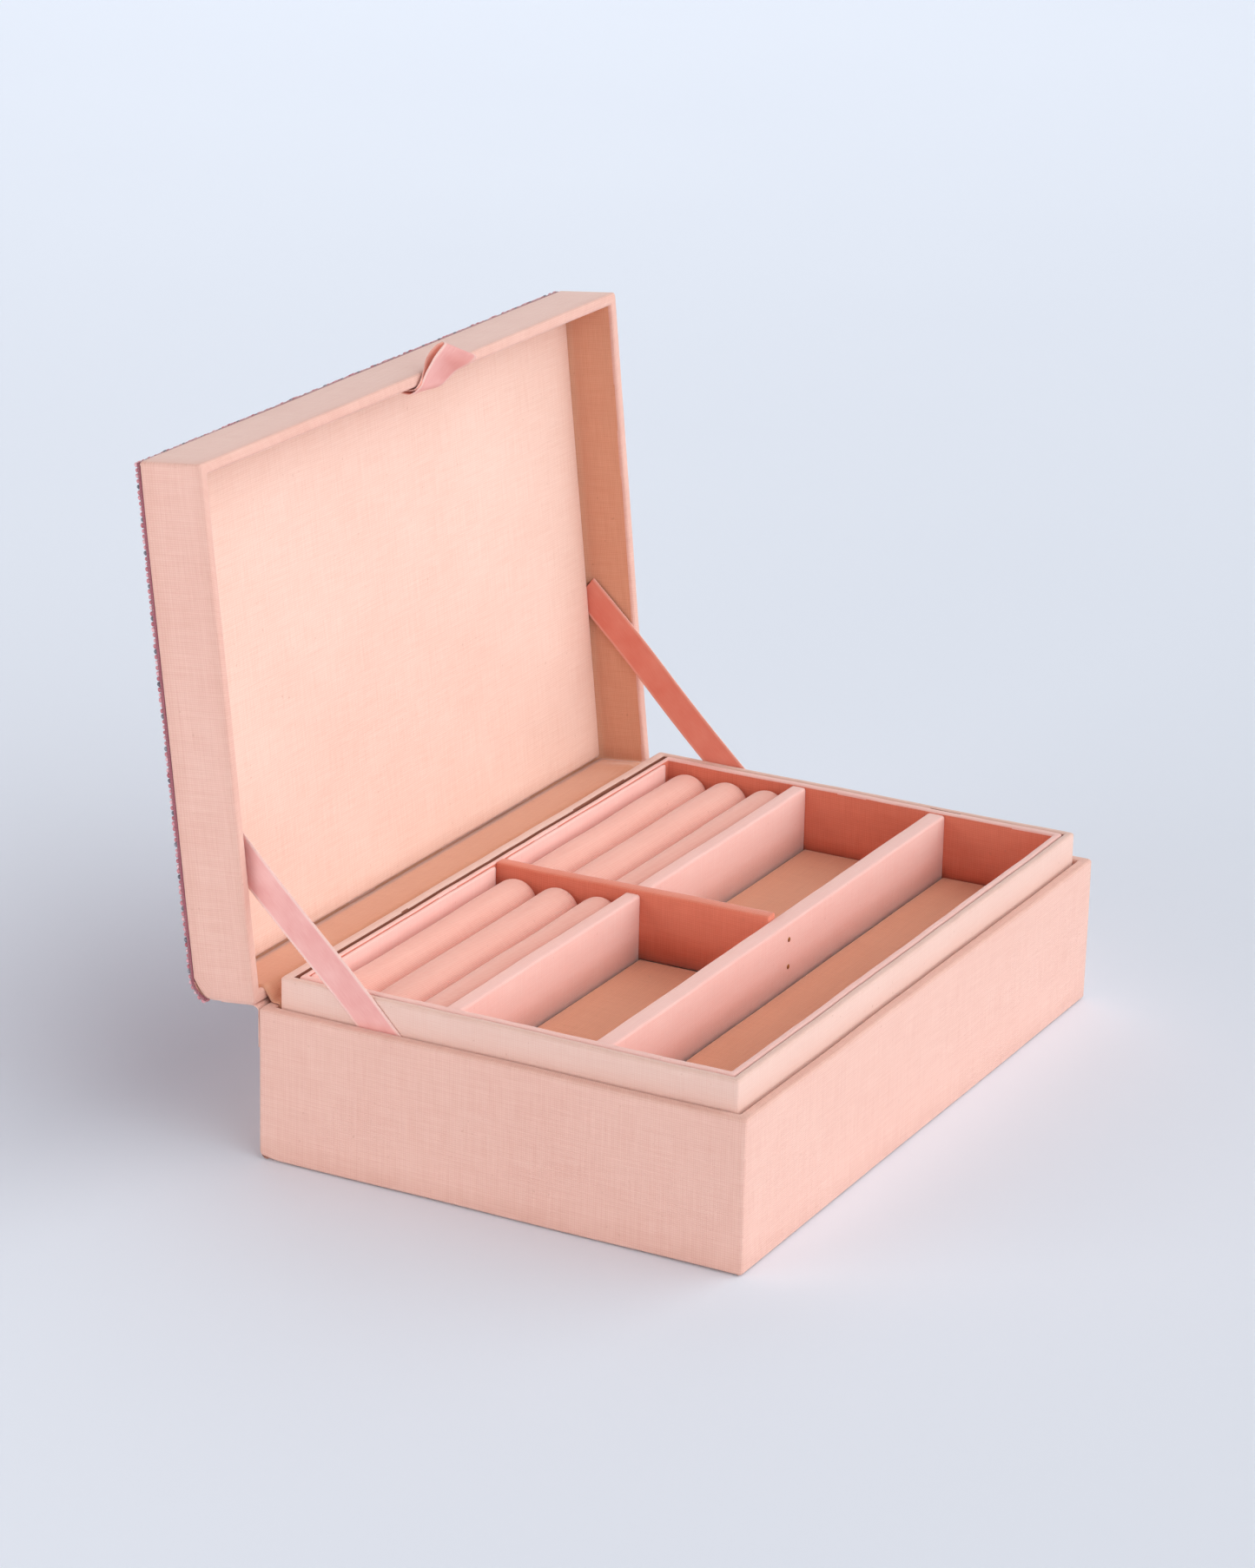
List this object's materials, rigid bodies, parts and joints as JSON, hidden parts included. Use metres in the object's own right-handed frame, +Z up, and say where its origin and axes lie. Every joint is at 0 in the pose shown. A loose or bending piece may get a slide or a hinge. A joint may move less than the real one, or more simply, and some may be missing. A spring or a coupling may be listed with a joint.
{
  "type": "jewelry box",
  "caption": "Cloth-covered hinged jewelry box, open on ribbon stays, with an embroidered lid and a tray of ring rolls and compartments.",
  "frame": {"origin": "middle of the base's resting face", "axes": "+X along the hinge to the right as seen from the front, -Y to the front, +Z up"},
  "size_m": [0.2318, 0.1881, 0.2033],
  "materials": {
    "case_book_cloth": "matte",
    "neck_book_cloth": "matte",
    "tray_cloth": "matte",
    "lining_cloth": "matte",
    "floor_card_cloth": "matte",
    "ring_roll_twill": "matte",
    "greyboard": "matte",
    "underside_paper": "matte",
    "embroidered_cloth": "matte",
    "satin_ribbon": "satin",
    "nail_brass": "satin"
  },
  "bodies": {
    "base": {"base_bottom_board": "greyboard", "base_front_wall": "case_book_cloth", "base_back_wall": "case_book_cloth", "base_left_wall": "case_book_cloth", "base_right_wall": "case_book_cloth", "underside_sheet": "underside_paper", "base_floor_lining": "floor_card_cloth", "neck_front_board": "neck_book_cloth", "neck_back_board": "neck_book_cloth", "neck_left_board": "neck_book_cloth", "neck_right_board": "neck_book_cloth", "left_tray_riser": "greyboard", "right_tray_riser": "greyboard", "hinge_cloth": "case_book_cloth"},
    "tray": {"tray_floor_board": "greyboard", "tray_front_wall": "tray_cloth", "tray_back_wall": "tray_cloth", "tray_left_wall": "tray_cloth", "tray_right_wall": "tray_cloth", "long_divider": "tray_cloth", "cross_divider": "tray_cloth", "left_ring_divider": "tray_cloth", "right_ring_divider": "tray_cloth", "divider_nails": "nail_brass", "front_floor_card": "floor_card_cloth", "left_floor_card": "floor_card_cloth", "right_floor_card": "floor_card_cloth", "left_liner_card": "tray_cloth", "right_liner_card": "tray_cloth", "left_ring_roll_1": "ring_roll_twill", "left_ring_roll_2": "ring_roll_twill", "left_ring_roll_3": "ring_roll_twill", "right_ring_roll_1": "ring_roll_twill", "right_ring_roll_2": "ring_roll_twill", "right_ring_roll_3": "ring_roll_twill"},
    "lid": {"lid_top_board": "case_book_cloth", "lid_front_wall": "case_book_cloth", "lid_back_wall": "case_book_cloth", "lid_left_wall": "case_book_cloth", "lid_right_wall": "case_book_cloth", "lid_lining_card": "lining_cloth", "embroidered_panel": "embroidered_cloth", "pull_tab": "satin_ribbon", "hinge_lining_strip": "lining_cloth", "left_ribbon_stay": "satin_ribbon", "right_ribbon_stay": "satin_ribbon"}
  },
  "joints": [
    {"name": "lid_hinge", "type": "hinge", "parent": "base", "child": "lid", "pos_m": [0, 0.0756, 0.0456], "axis": [1, 0, 0], "range_deg": [0, 96.2], "deforming": ["left_ribbon_stay", "right_ribbon_stay", "pull_tab", "hinge_cloth", "hinge_lining_strip"]},
    {"name": "tray_lift", "type": "slide", "parent": "base", "child": "tray", "axis": [0, 0, 1], "range_m": [0, 0.005]}
  ]
}
